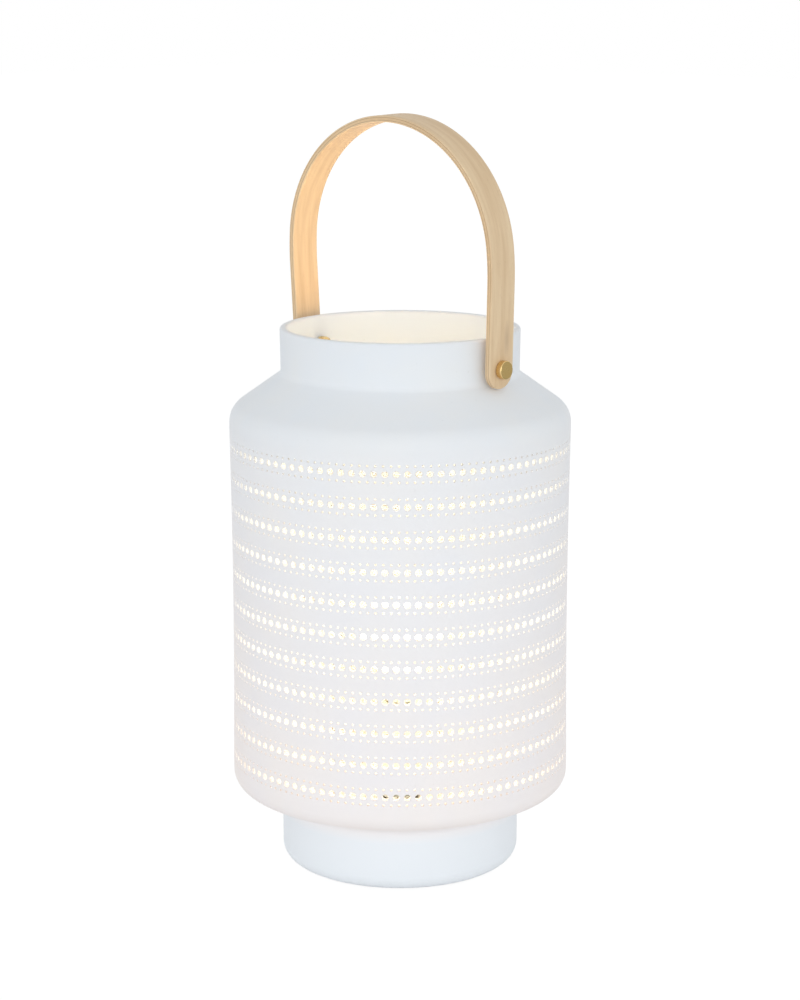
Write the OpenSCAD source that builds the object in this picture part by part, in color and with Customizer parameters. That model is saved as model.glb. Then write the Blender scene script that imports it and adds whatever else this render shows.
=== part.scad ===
// Lantern table lamp: a perforated porcelain body with an open neck, a bent
// wooden carrying strap that swings on two brass pivots, and an opal globe bulb
// in a small lampholder. Millimetres, +Z up, the table is z = 0, +X is one pivot.

/* [Porcelain wall] */
// Outer radius of the body above and below the perforated wall
wall_r = 90; // [80:0.5:110]
// How far the corners of the perforated wall lie back from that radius
wall_step = 0.2; // [0.15:0.05:0.4]
// Thickness of the porcelain
wall_t = 4; // [3:0.25:6]
// Rows of holes
row_count = 11; // [5:1:11]
// Holes in one row
holes_per_row = 100; // [60:2:110]
// Radius of one hole
hole_r = 1.7; // [1:0.1:2]
// Height of the lowest row above the table
first_row_z = 61.8; // [61:0.2:66]
// Height from one row to the next
row_pitch = 16.74; // [12:0.02:16.8]

/* [Neck and shoulder] */
// Outer radius of the neck where it leaves the shoulder
neck_r = 62.7; // [58:0.1:66]
// How much wider the neck is at the rim
lip_flare = 0.7; // [0:0.1:2]
// Height of the rim
rim_z = 290.2; // [286:0.2:300]
// Height where the neck meets the slope of the shoulder
shoulder_z = 266.3; // [264:0.1:268]
// Slope of the shoulder below the horizontal, in degrees
shoulder_slope = 35.4; // [30:0.2:38]
// Rounding between the shoulder and the wall
shoulder_blend = 12.6; // [8:0.2:14]
// Hollow rounding between the neck and the shoulder
neck_blend = 4; // [2:0.5:5]
// Rounding of the rim's edges
rim_blend = 1.4; // [0.5:0.1:1.8]

/* [Underside and foot] */
// Height where the wall's line meets the slope under the body
belly_z = 44.8; // [43:0.1:46]
// Slope under the body, in degrees
belly_slope = 20; // [15:1:24]
// Rounding between the wall and the slope under it
belly_blend = 18; // [10:0.5:20]
// Outer radius of the foot
foot_r = 63.7; // [60:0.1:68]
// Rounding of the foot's lower edge
foot_blend = 9.8; // [6:0.2:10]
// Hollow rounding between the foot and the body
foot_top_blend = 10; // [4:0.5:12]
// Height of the floor inside the body
floor_z = 32; // [30:0.5:34]
// Thickness of that floor
floor_t = 5; // [4:0.5:6]
// Thickness of the flange that turns in at the foot's lower end
flange_t = 6; // [5:0.5:7]
// Width of the flange between the foot's inner wall and its opening
flange_w = 9.7; // [8:0.1:14]
// How far the foot pads hold the porcelain off the table
pad_proud = 0.8; // [0.5:0.1:1.5]

/* [Base plate] */
// Depth of the recess that the base plate lies in
rebate_depth = 3; // [2.5:0.1:3.5]
// Width of the recess around the opening
rebate_w = 2; // [1.5:0.1:2.5]
// Thickness of the base plate
plate_t = 1.5; // [1:0.1:2]
// Gap around the base plate
plate_gap = 0.4; // [0.2:0.1:0.8]
// Radius of one felt pad
pad_r = 8; // [5:0.5:10]
// Distance of the pads from the middle
pad_circle_r = 38; // [30:0.5:40]
// Number of felt pads
pad_count = 4; // [3:1:6]
// Thickness of the bracket's steel strip
bracket_t = 1.6; // [1.2:0.1:2]
// Width of the bracket's strip
bracket_w = 16; // [14:1:20]
// Distance of the bracket's legs from the middle
bracket_x = 30; // [26:1:34]
// Radius of the base screws
base_screw_r = 1.5; // [1.25:0.05:2]

/* [Wooden strap] */
// Height of the top of the strap
top_z = 400; // [380:1:420]
// Width of the strap
strap_w = 18; // [14:0.5:22]
// Thickness of the strap
strap_t = 3.4; // [2.6:0.1:3.6]
// How much each leg leans in, in degrees
toe_in = 2; // [1:0.1:2.2]
// How far the middle of the rounded end lies below the pivot
strap_end_drop = 1; // [0:0.1:1.2]
// How far the strap at rest leans to the front, in degrees
strap_lean = 1.3; // [-3:0.1:3]

/* [Pivots] */
// Height of the pivots
pivot_z = 274.8; // [274.4:0.1:278]
// Radius of the brass pivot screw
pivot_r = 1.75; // [1.5:0.05:2.5]
// Running clearance of the strap on the screw
pivot_fit = 0.06; // [0.02:0.01:0.1]
// Gap on both sides of the strap
strap_gap = 0.35; // [0.3:0.05:0.5]
// Radius of the screw's flat head
head_r = 4.75; // [4:0.05:6]
// Thickness of the head
head_t = 3.5; // [2.5:0.1:5]
// Bevel of the head's outer edge
head_bevel = 0.5; // [0.2:0.1:1]
// Radius of the spacers and washers
spacer_r = 4.4; // [3.5:0.1:5]
// Length of the spacer between the neck and the strap
spacer_l = 2.8; // [1.5:0.1:5]
// Thickness of the washer inside the neck
neck_washer_t = 1; // [0.5:0.1:1.5]
// Length of the dome nut without its dome
dome_nut_t = 3; // [2.5:0.1:4]
// Height of the nut's dome
dome_h = 2.6; // [2:0.1:3.5]

/* [Lampholder] */
// Radius of the threaded tube that holds the lampholder
nipple_r = 5; // [4.5:0.1:5.5]
// Radius of the bore through that tube
nipple_bore_r = 3.6; // [3.4:0.1:4]
// Radius of the lampholder
holder_r = 13.5; // [13:0.1:16]
// Wall of the lampholder's shell
holder_t = 1.6; // [1.2:0.1:2]
// Height of the lampholder's cap
holder_cap_h = 17; // [16:0.5:20]
// Height of the lampholder, cap and shell together
holder_h = 51.8; // [50:0.1:54]
// Thickness of the brass screw shell
screw_shell_t = 0.4; // [0.3:0.05:0.6]
// Thickness of a rubber washer
rubber_t = 1.5; // [1:0.1:2]
// Thickness of a steel washer
steel_washer_t = 1.2; // [1:0.1:1.6]
// Radius of the washers on the threaded tube
tube_washer_r = 10; // [9:0.5:12]
// Height of the nut on the threaded tube
nipple_nut_t = 3; // [2.5:0.5:4]
// Width of the strip that touches the bulb's tip
contact_w = 4; // [3.5:0.1:4.2]
// Thickness of that strip
contact_t = 0.5; // [0.4:0.05:0.7]

/* [Bulb] */
// Radius of the opal globe
globe_r = 22.5; // [20:0.5:24]
// Wall of the globe
globe_t = 1.2; // [0.8:0.1:1.6]
// Length of the bulb
bulb_l = 79; // [74:0.5:82]
// How far below the globe's middle its wall ends on the collar
globe_drop = 15.5; // [14:0.5:17]
// Radius of the bulb's screw cap
cap_r = 6.9; // [6.7:0.05:7]
// Clearance of the cap in the screw shell
cap_gap = 0.2; // [0.15:0.05:0.3]
// Height of the bulb's tip above the foot of the lampholder
bulb_seat_h = 31.3; // [31:0.1:32]

/* [Wiring] */
// Radius of one insulated lead
lead_r = 1; // [0.8:0.05:1.1]
// Distance of each lead from the middle of the tube
lead_x = 1.7; // [1.6:0.05:1.8]
// Length of the terminal block
block_l = 17; // [15:0.5:20]
// Height of the middle of the cable inlet
inlet_z = 17.5; // [16:0.1:18]
// Radius of the bore through the cable inlet
inlet_r = 3.1; // [2.5:0.1:3.5]
// Wall of the inlet's sleeve
inlet_wall = 1.3; // [1:0.1:1.6]
// How far the inlet's flanges reach past the sleeve
inlet_flange_w = 1.6; // [1.2:0.1:2]
// Thickness of those flanges
inlet_flange_t = 1.4; // [1:0.1:1.8]

/* [Hidden] */

$fn = 96;
arc_steps = 8;       // chords in one rounded corner of a profile
far = 500;           // longer than the lamp
cut = 1;             // how far a cutting tool passes a face
seat = 0.05;         // gap between pieces that are screwed or pushed together
arch_steps = 60;     // chords in the strap's arch
lap = 1;             // how far the body's round parts run on over the perforated wall

neck_in_r = neck_r - wall_t;
wall_in_r = wall_r - wall_t;
foot_in_r = foot_r - wall_t;
shoulder_tan = tan(shoulder_slope);
belly_tan = tan(belly_slope);
shoulder_edge_z = shoulder_z - (wall_r - neck_r) * shoulder_tan;
wall_top_z = shoulder_edge_z - shoulder_blend * tan(45 - shoulder_slope / 2);
wall_low_z = belly_z + belly_blend * tan(45 - belly_slope / 2);
flange_top_z = pad_proud + flange_t;
opening_r = foot_in_r - flange_w;
rebate_r = opening_r + rebate_w;
plate_top_z = pad_proud + rebate_depth;
plate_z = plate_top_z - plate_t;
cavity_top_z = floor_z - floor_t;

// along a pivot, outwards from the neck: spacer, strap, head of the screw
function neck_out_r(z) = neck_r + lip_flare * (z - shoulder_z) / (rim_z - shoulder_z);
spacer_in_x = neck_out_r(pivot_z + spacer_r) + seat;
spacer_out_x = spacer_in_x + spacer_l;
strap_half_x = strap_t / 2 / cos(toe_in);
strap_x = spacer_out_x + strap_gap + strap_half_x;
head_x = strap_x + strap_half_x + strap_gap;

// the strap's arch runs on into two straight legs that pass the pivots
arch_rise = top_z - strap_t / 2 - pivot_z;
arch_r = (strap_x + arch_rise * tan(toe_in)) / (1 / cos(toe_in) + tan(toe_in));
arch_z = top_z - strap_t / 2 - arch_r;
strap_end_z = pivot_z - strap_end_drop;
function leg_x(r, z) = r / cos(toe_in) - (arch_z - z) * tan(toe_in);
neck_washer_x = sqrt(pow(neck_out_r(pivot_z - spacer_r) - wall_t, 2) - pow(spacer_r, 2)) - seat;
dome_nut_x = neck_washer_x - neck_washer_t;
dome_wall = 1.2;     // brass over the end of the screw
screw_end_x = dome_nut_x - dome_nut_t;

holder_z = floor_z + rubber_t + steel_washer_t;
holder_top_z = holder_z + holder_h;
shell_z = holder_z + holder_cap_h;
core_r = holder_r - holder_t - seat;
core_h = 11;         // height of the holder's insulating core
core_z = shell_z - 2; // the core starts a little inside the cap
screw_shell_in_r = cap_r + cap_gap;
screw_shell_r = screw_shell_in_r + screw_shell_t;
core_floor_t = 7;    // of the core, under the screw shell
screw_shell_z = core_z + core_floor_t;
lip_t = 1.5;         // turned-in lip at the top of the lampholder
lip_gap = 0.5;       // from that lip to the screw shell

tip_z = holder_z + bulb_seat_h;
tip_h = 1;           // of the bulb's solder tip
insulator_h = 3;     // of the black glass around it
cap_z = tip_z + tip_h + insulator_h;
collar_gap = 1.2;    // from the lampholder's rim to the bulb's collar
collar_z = holder_top_z + collar_gap;
collar_h = 3;        // straight part of the bulb's collar
collar_w = 2.4;      // how far the collar stands out past the cap
globe_z = tip_z + bulb_l - globe_r;
globe_low_z = globe_z - globe_drop;
globe_low_r = sqrt(pow(globe_r, 2) - pow(globe_drop, 2));

block_w = 12;        // width of the terminal block
block_h = 11;        // its height
block_y = 24;        // its distance from the middle
block_base_t = 3;    // thickness of its foot
block_bore_r = 1.5;  // bores for the leads and for their screws
pole_space = 4;      // between the two poles
pole_gap = 0.8;      // by which the barrel is narrower than its pole
pole_l = (block_l - pole_space) / 2;
pole_x = block_l / 2 - pole_l / 2;
bore_h = 3.4;        // bore's middle above the block's foot
lead_z = plate_top_z + block_base_t + bore_h;
terminal_x = 5.2;    // distance of the holder's terminals from the middle
terminal_h = 4;      // their height
terminal_z = core_z - terminal_h;

bracket_top_z = cavity_top_z - rubber_t;
bracket_web_z = bracket_top_z - bracket_t;
nut_z = bracket_web_z - nipple_nut_t;
thread_past = 1.5;   // thread that shows past a nut
nipple_low_z = nut_z - thread_past;
boss_h = 4;          // narrow foot of the lampholder's cap
cap_floor_t = 5;     // its floor, which is screwed on the threaded tube
nipple_top_z = holder_z + cap_floor_t + 1;

inlet_neck_r = inlet_r + inlet_wall;
inlet_flange_r = inlet_neck_r + inlet_flange_w;

porcelain_white = [0.93, 0.94, 0.95];
birch = [0.85, 0.74, 0.57];
brass = [0.80, 0.66, 0.38];
steel = [0.72, 0.73, 0.75];
black = [0.13, 0.13, 0.14];

function unit(v) = v / norm(v);

// the arc of radius r that rounds corner b between a and c
function blend(a, b, c, r) =
    let (u = unit(a - b), v = unit(c - b))
    let (half = acos(u * v) / 2, middle = b + unit(u + v) * r / sin(half))
    let (from = b + u * r / tan(half) - middle, to = b + v * r / tan(half) - middle)
    let (start = atan2(from[1], from[0]), turn = atan2(to[1], to[0]) - start)
    let (sweep = turn > 180 ? turn - 360 : turn < -180 ? turn + 360 : turn)
    [for (k = [0 : arc_steps])
        middle + r * [cos(start + sweep * k / arc_steps), sin(start + sweep * k / arc_steps)]];

// an open path's inner corners, each rounded by its own radius; its two ends are left out
function rounded(path, radii) = [
    for (i = [1 : len(path) - 2])
        each (radii[i] > 0 ? blend(path[i - 1], path[i], path[i + 1], radii[i]) : [path[i]])
];

// corners of a regular outline with one side for each column of holes
function many_sided(r) = [
    for (i = [0 : holes_per_row - 1]) r * [cos(i * 360 / holes_per_row), sin(i * 360 / holes_per_row)]
];

module ring(outer, inner, low, high) {
    translate([0, 0, low])
        difference() {
            cylinder(h = high - low, r = outer);
            translate([0, 0, -cut])
                cylinder(h = high - low + 2 * cut, r = inner);
        }
}

// a ring or rod along X, from x = low to x = high
module ring_x(outer, inner, low, high) {
    translate([0, 0, pivot_z])
        rotate([0, 90, 0])
            ring(outer, inner, low, high);
}

module both_pivots() {
    for (side = [0, 180])
        rotate([0, 0, side])
            children();
}

// ---- porcelain ----

// neck and shoulder, down to the top of the perforated wall
module porcelain_top() {
    inner_neck_z = shoulder_z + wall_t * shoulder_tan - wall_t / cos(shoulder_slope);
    inner_edge_z = shoulder_edge_z + wall_t * shoulder_tan - wall_t / cos(shoulder_slope);
    path = [
        [wall_r, 0],
        [wall_r, shoulder_edge_z],
        [neck_r, shoulder_z],
        [neck_r + lip_flare, rim_z],
        [neck_in_r + lip_flare, rim_z],
        [neck_in_r, inner_neck_z],
        [wall_in_r, inner_edge_z],
        [wall_in_r, 0]
    ];
    radii = [0, shoulder_blend, neck_blend, rim_blend, rim_blend,
        neck_blend + wall_t, shoulder_blend - wall_t, 0];
    low_z = wall_top_z - lap;
    rotate_extrude()
        polygon(concat([[wall_r, low_z]], rounded(path, radii), [[wall_in_r, low_z]]));
}

// rounded belly, floor and foot, up to the foot of the perforated wall
module porcelain_bottom() {
    inner_belly_z = belly_z - wall_t * belly_tan + wall_t / cos(belly_slope);
    floor_edge_r = wall_in_r - (inner_belly_z - floor_z) / belly_tan;
    path = [
        [wall_r, far],
        [wall_r, belly_z],
        [foot_r, belly_z - (wall_r - foot_r) * belly_tan],
        [foot_r, pad_proud],
        [rebate_r, pad_proud],
        [rebate_r, plate_top_z],
        [opening_r, plate_top_z],
        [opening_r, flange_top_z],
        [foot_in_r, flange_top_z],
        [foot_in_r, cavity_top_z],
        [nipple_r + seat, cavity_top_z],
        [nipple_r + seat, floor_z],
        [floor_edge_r, floor_z],
        [wall_in_r, inner_belly_z],
        [wall_in_r, far]
    ];
    radii = [0, belly_blend, foot_top_blend, foot_blend, 0, 0, 0, 0,
        foot_blend - wall_t, wall_t, 0, 0, 2 * wall_t, belly_blend - wall_t, 0];
    top_of_lap = wall_low_z + lap;
    rotate_extrude()
        polygon(concat([[wall_r, top_of_lap]], rounded(path, radii), [[wall_in_r, top_of_lap]]));
}

// The wall has one narrow flat for each column of holes. With so many flats it
// is round to within a twentieth of a millimetre, and every hole's rim is a circle.
module perforated_wall() {
    difference() {
        translate([0, 0, wall_low_z])
            linear_extrude(height = wall_top_z - wall_low_z)
                difference() {
                    polygon(many_sided(wall_r - wall_step));
                    polygon(many_sided(wall_in_r - wall_step));
                }
        for (row = [0 : row_count - 1])
            for (column = [0 : holes_per_row - 1])
                rotate([0, 0, (column + 0.5) * 360 / holes_per_row])
                    translate([wall_in_r - 2 * cut, 0, first_row_z + row * row_pitch])
                        rotate([0, 90, 0])
                            cylinder(h = wall_t + 4 * cut, r = hole_r);
    }
}

module porcelain_body() {
    color(porcelain_white)
        difference() {
            union() {
                porcelain_top();
                perforated_wall();
                porcelain_bottom();
            }
            both_pivots()
                ring_x(pivot_r + seat, 0, neck_in_r - 3 * cut, neck_r + 3 * cut);
            translate([0, foot_in_r - 3 * cut, inlet_z])
                rotate([-90, 0, 0])
                    cylinder(h = wall_t + 6 * cut, r = inlet_neck_r + seat);
        }
}

// ---- underside ----

module base_plate() {
    color(steel)
        difference() {
            translate([0, 0, plate_z])
                cylinder(h = plate_t, r = rebate_r - plate_gap);
            for (side = [-1, 1])
                translate([side * bracket_x, 0, plate_z - cut])
                    cylinder(h = plate_t + 2 * cut, r = base_screw_r + seat);
            translate([0, block_y, plate_z - cut])
                cylinder(h = plate_t + 2 * cut, r = base_screw_r + seat);
        }
}

// a pan-head screw that points up from z = 0, with a cross slot under its head
module pan_screw(shank_r, shank_l) {
    head_h = shank_r * 0.75;
    slot_w = shank_r * 0.4;
    difference() {
        union() {
            cylinder(h = shank_l, r = shank_r);
            translate([0, 0, -head_h])
                cylinder(h = head_h, r1 = shank_r * 1.5, r2 = shank_r * 1.9);
        }
        for (turn = [0, 90])
            rotate([0, 0, turn])
                translate([-shank_r, -slot_w / 2, -head_h - cut])
                    cube([2 * shank_r, slot_w, cut + head_h / 2]);
    }
}

module base_screws() {
    color(steel)
        for (side = [-1, 1])
            translate([side * bracket_x, 0, plate_z])
                pan_screw(base_screw_r, plate_t + bracket_t + thread_past);
}

// steel strip over the cavity with two legs that the base screws reach
module base_bracket() {
    leg_h = bracket_top_z - plate_top_z;
    tab_l = 8;
    color(steel)
        difference() {
            union() {
                translate([-bracket_x - tab_l / 2, -bracket_w / 2, bracket_web_z])
                    cube([2 * bracket_x + tab_l, bracket_w, bracket_t]);
                for (side = [-1, 1])
                    translate([side * (bracket_x + tab_l / 2 - bracket_t / 2), 0, plate_top_z + leg_h / 2])
                        cube([bracket_t, bracket_w, leg_h], center = true);
                for (side = [-1, 1])
                    translate([side * bracket_x, 0, plate_top_z + bracket_t / 2])
                        cube([tab_l, bracket_w, bracket_t], center = true);
            }
            translate([0, 0, bracket_web_z - cut])
                cylinder(h = bracket_t + 2 * cut, r = nipple_r + seat);
            for (side = [-1, 1])
                translate([side * bracket_x, 0, plate_top_z - cut])
                    cylinder(h = bracket_t + 2 * cut, r = base_screw_r + seat);
        }
}

module foot_pads() {
    color([0.35, 0.34, 0.33])
        for (i = [0 : pad_count - 1])
            rotate([0, 0, (i + 0.5) * 360 / pad_count])
                translate([pad_circle_r, 0, 0])
                    cylinder(h = plate_z, r = pad_r);
}

// grommet in the back of the foot, flanged inside and outside the porcelain
module cable_inlet() {
    back_y = foot_r + inlet_flange_t;
    front_y = foot_in_r - inlet_flange_t - 0.5;
    color(black)
        difference() {
            translate([0, front_y, inlet_z])
                rotate([-90, 0, 0])
                    cylinder(h = back_y - front_y, r = inlet_flange_r);
            difference() {
                ring(foot_r + seat, foot_in_r - seat,
                    inlet_z - 2 * inlet_flange_r, inlet_z + 2 * inlet_flange_r);
                translate([0, foot_in_r - 2 * cut, inlet_z])
                    rotate([-90, 0, 0])
                        cylinder(h = wall_t + 4 * cut, r = inlet_neck_r);
            }
            translate([0, front_y - cut, inlet_z])
                rotate([-90, 0, 0])
                    cylinder(h = back_y - front_y + 2 * cut, r = inlet_r);
        }
}

// two-pole block with a screw well and a wire bore in each pole
module terminal_block() {
    color([0.90, 0.88, 0.82])
        difference() {
            translate([0, block_y, plate_top_z])
                union() {
                    translate([-block_l / 2, -block_w / 2, 0])
                        cube([block_l, block_w, block_base_t]);
                    for (side = [-1, 1])
                        translate([side * pole_x, 0, 0])
                            pole();
                }
            for (side = [-1, 1])
                translate([side * pole_x, block_y - block_w, lead_z])
                    rotate([-90, 0, 0])
                        cylinder(h = 2 * block_w, r = block_bore_r);
            for (side = [-1, 1])
                for (end = [-1, 1])
                    translate([side * pole_x, block_y + end * block_w / 4, lead_z])
                        cylinder(h = block_h, r = block_bore_r);
            translate([0, block_y, plate_top_z - cut])
                cylinder(h = block_base_t + 2 * cut, r = base_screw_r + seat);
        }
}

// one pole of the block: a square foot with a rounded barrel above
module pole() {
    barrel_r = pole_l / 2 - pole_gap / 2;
    translate([-barrel_r, -block_w / 2, 0])
        cube([2 * barrel_r, block_w, lead_z - plate_top_z]);
    translate([0, -block_w / 2, lead_z - plate_top_z])
        rotate([-90, 0, 0])
            cylinder(h = block_w, r = barrel_r);
    for (end = [-1, 1])
        translate([0, end * block_w / 4, 0])
            cylinder(h = block_h, r = block_bore_r + 0.8);
}

module terminal_screws() {
    color(brass)
        for (side = [-1, 1])
            for (end = [-1, 1])
                translate([side * pole_x, block_y + end * block_w / 4, lead_z + lead_r + seat])
                    slotted_plug(block_bore_r - seat, 3.5);
}

// headless screw with a slot across its top
module slotted_plug(r, h) {
    difference() {
        cylinder(h = h, r = r);
        translate([-2 * r, -r / 4, h - r / 2])
            cube([4 * r, r / 2, r]);
    }
}

module block_screw() {
    color(steel)
        translate([0, block_y, plate_z])
            pan_screw(base_screw_r, plate_t + block_base_t);
}

// ---- lampholder ----

module nipple() {
    color(steel)
        ring(nipple_r, nipple_bore_r, nipple_low_z, nipple_top_z);
}

module nipple_nut() {
    across_r = nipple_r * 1.75;
    color(steel)
        difference() {
            translate([0, 0, nut_z])
                cylinder(h = nipple_nut_t, r = across_r, $fn = 6);
            translate([0, 0, nut_z - cut])
                cylinder(h = nipple_nut_t + 2 * cut, r = nipple_r + seat);
        }
}

module steel_washers() {
    color(steel)
        ring(tube_washer_r, nipple_r + seat, floor_z + rubber_t, holder_z);
}

module rubber_washers() {
    color(black) {
        ring(tube_washer_r, nipple_r + seat, floor_z, floor_z + rubber_t);
        ring(tube_washer_r, nipple_r + seat, bracket_top_z, cavity_top_z);
    }
}

module holder_cap() {
    boss_r = 8.5;
    flare_z = holder_z + boss_h + 6;
    path = [
        [nipple_r + seat, holder_z - far],
        [nipple_r + seat, holder_z],
        [boss_r, holder_z],
        [boss_r, holder_z + boss_h],
        [holder_r, flare_z],
        [holder_r, shell_z],
        [holder_r - holder_t, shell_z],
        [holder_r - holder_t, flare_z + 1],
        [boss_r - holder_t, holder_z + cap_floor_t],
        [nipple_r + seat, holder_z + cap_floor_t],
        [nipple_r + seat, holder_z + far]
    ];
    radii = [0, 0, 1, 2, 3, 0, 0, 2, 1, 0, 0];
    color(porcelain_white)
        rotate_extrude()
            polygon(rounded(path, radii));
}

module holder_shell() {
    path = [
        [holder_r, shell_z - far],
        [holder_r, shell_z],
        [holder_r, holder_top_z],
        [screw_shell_r + lip_gap, holder_top_z],
        [screw_shell_r + lip_gap, holder_top_z - lip_t],
        [holder_r - holder_t, holder_top_z - lip_t],
        [holder_r - holder_t, shell_z],
        [holder_r - holder_t, shell_z - far]
    ];
    radii = [0, 0, 1.2, 0.4, 0, 0, 0, 0];
    color(porcelain_white)
        rotate_extrude()
            polygon(rounded(path, radii));
}

// insulating insert that carries the screw shell, the contact and the terminals
module holder_core() {
    color([0.87, 0.85, 0.80])
        difference() {
            translate([0, 0, core_z])
                cylinder(h = core_h, r = core_r);
            translate([0, 0, screw_shell_z - seat])
                cylinder(h = core_h, r = screw_shell_r + seat);
            for (side = [-1, 1])
                translate([side * terminal_x, 0, core_z - cut])
                    cylinder(h = core_h, r = 0.8);
            translate([-contact_w / 2 - seat, -contact_w / 2, core_z - cut])
                cube([contact_t + 2 * seat, contact_w, core_h]);
        }
}

module screw_shell() {
    contact_space = 1.6;
    color(brass)
        difference() {
            translate([0, 0, screw_shell_z])
                cylinder(h = holder_top_z - lip_t - screw_shell_z, r = screw_shell_r);
            translate([0, 0, screw_shell_z + screw_shell_t])
                cylinder(h = holder_h, r = screw_shell_in_r);
            translate([0, 0, screw_shell_z - cut])
                cylinder(h = 3 * cut, r = contact_w / 2 + contact_space);
        }
}

// folded brass strip that presses on the bulb's tip
module centre_contact() {
    stem_h = tip_z - cap_gap - core_z;
    color(brass)
        translate([-contact_w / 2, -contact_w / 2 + seat, core_z])
            difference() {
                cube([contact_w, contact_w - 2 * seat, stem_h]);
                translate([contact_t, -cut, -cut])
                    cube([contact_w, contact_w + 2 * cut, stem_h + cut - contact_t]);
            }
}

module holder_terminals() {
    block = [4.4, 5, terminal_h - seat];
    color(brass)
        for (side = [0, 180])
            rotate([0, 0, side])
                difference() {
                    union() {
                        translate([terminal_x - block[0] / 2, -block[1] / 2, terminal_z])
                            cube(block);
                        translate([terminal_x, block[1] / 2, terminal_z + block[2] / 2])
                            rotate([-90, 0, 0])
                                slotted_plug(1.5, 1.6);
                    }
                    translate([terminal_x, 0, terminal_z - cut])
                        cylinder(h = block[2], r = lead_r + seat);
                }
}

// a round wire along a path of points, with flat ends
module wire(path, r, sides = 8) {
    last = len(path) - 1;
    function heading(i) = unit(path[min(i + 1, last)] - path[max(i - 1, 0)]);
    function across(i) = unit(cross(heading(i), [1, 0, 0]));
    points = [
        for (i = [0 : last])
            for (k = [0 : sides - 1])
                path[i] + r * (cos(k * 360 / sides) * across(i)
                    + sin(k * 360 / sides) * cross(heading(i), across(i)))
    ];
    faces = concat(
        [[for (k = [0 : sides - 1]) k]],
        [for (i = [0 : last - 1])
            for (k = [0 : sides - 1])
                [i * sides + k, (i + 1) * sides + k,
                    (i + 1) * sides + (k + 1) % sides, i * sides + (k + 1) % sides]],
        [[for (k = [sides - 1 : -1 : 0]) last * sides + k]]
    );
    polyhedron(points, faces);
}

// from a pole of the block, through the tube, to a terminal of the lampholder
module lead(side) {
    bend_r = 6;
    end_y = block_y - block_w / 2 + 2.5;
    entry_z = nipple_low_z + 2;
    path = concat(
        [[side * pole_x, end_y, lead_z], [side * pole_x, end_y - 5, lead_z]],
        [[side * lead_x, bend_r + 2, lead_z]],
        [for (a = [0 : 22.5 : 90])
            [side * lead_x, bend_r * (1 - sin(a)), lead_z + bend_r * (1 - cos(a))]],
        [[side * lead_x, 0, entry_z], [side * lead_x, 0, nipple_top_z]],
        [[side * terminal_x, 0, terminal_z - 1], [side * terminal_x, 0, terminal_z + 2]]
    );
    wire(path, lead_r);
}

module live_lead() {
    color([0.45, 0.28, 0.18])
        lead(1);
}

module neutral_lead() {
    color([0.20, 0.35, 0.62])
        lead(-1);
}

// ---- pivots and strap ----

// brass screw from outside: bevelled head, plain shank
module pivot_screws() {
    color(brass)
        both_pivots()
            translate([0, 0, pivot_z])
                rotate([0, 90, 0])
                    union() {
                        translate([0, 0, screw_end_x])
                            cylinder(h = head_x + cut - screw_end_x, r = pivot_r);
                        translate([0, 0, head_x])
                            cylinder(h = head_t - head_bevel, r = head_r);
                        translate([0, 0, head_x + head_t - head_bevel])
                            cylinder(h = head_bevel, r1 = head_r, r2 = head_r - head_bevel);
                    }
}

module pivot_spacers() {
    color(brass)
        both_pivots()
            ring_x(spacer_r, pivot_r + seat, spacer_in_x, spacer_out_x);
}

module neck_washers() {
    color([0.90, 0.88, 0.82])
        both_pivots()
            ring_x(spacer_r, pivot_r + seat, neck_washer_x - neck_washer_t, neck_washer_x);
}

// closed nut with a domed end, over the end of the screw inside the neck
module dome_nuts() {
    dome_r = (pow(spacer_r, 2) + pow(dome_h, 2)) / (2 * dome_h);
    color(brass)
        both_pivots()
            translate([dome_nut_x, 0, pivot_z])
                rotate([0, -90, 0])
                    difference() {
                        union() {
                            cylinder(h = dome_nut_t, r = spacer_r);
                            intersection() {
                                translate([0, 0, dome_nut_t + dome_h - dome_r])
                                    sphere(r = dome_r);
                                translate([0, 0, dome_nut_t])
                                    cylinder(h = 2 * dome_h, r = spacer_r);
                            }
                        }
                        translate([0, 0, -cut])
                            cylinder(h = dome_nut_t + cut + dome_h - dome_wall, r = pivot_r + seat);
                    }
}

// one face of the strap seen along Y, at radius r: up a leg, over the arch, down again
function strap_curve(r) = concat(
    [[leg_x(r, strap_end_z - strap_w), strap_end_z - strap_w]],
    [for (k = [0 : arch_steps])
        let (a = -toe_in + (180 + 2 * toe_in) * k / arch_steps)
            [r * cos(a), arch_z + r * sin(a)]],
    [[-leg_x(r, strap_end_z - strap_w), strap_end_z - strap_w]]
);

// the strap seen along Y
module strap_side() {
    inner = strap_curve(arch_r - strap_t / 2);
    last = len(inner) - 1;
    polygon(concat(strap_curve(arch_r + strap_t / 2), [for (k = [last : -1 : 0]) inner[k]]));
}

// the strap seen along X: straight sides and round ends
module strap_front() {
    translate([0, strap_end_z])
        circle(r = strap_w / 2);
    translate([-strap_w / 2, strap_end_z])
        square([strap_w, top_z]);
}

// The strap is drawn upright, with its pivots at z = 0, and then leans about them.
module handle_strap() {
    color(birch)
        translate([0, 0, pivot_z])
            rotate([strap_lean, 0, 0])
                difference() {
                    translate([0, 0, -pivot_z])
                        intersection() {
                            rotate([90, 0, 0])
                                linear_extrude(height = 2 * strap_w, center = true)
                                    strap_side();
                            rotate([90, 0, 90])
                                linear_extrude(height = far, center = true)
                                    strap_front();
                        }
                    rotate([0, 90, 0])
                        cylinder(h = far, r = pivot_r + pivot_fit, center = true);
                }
}

// ---- bulb ----

module bulb_globe() {
    color([0.98, 0.97, 0.93])
        translate([0, 0, globe_z])
            difference() {
                sphere(r = globe_r);
                sphere(r = globe_r - globe_t);
                translate([0, 0, -globe_drop - globe_r])
                    cylinder(h = globe_r, r = globe_r);
            }
}

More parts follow.
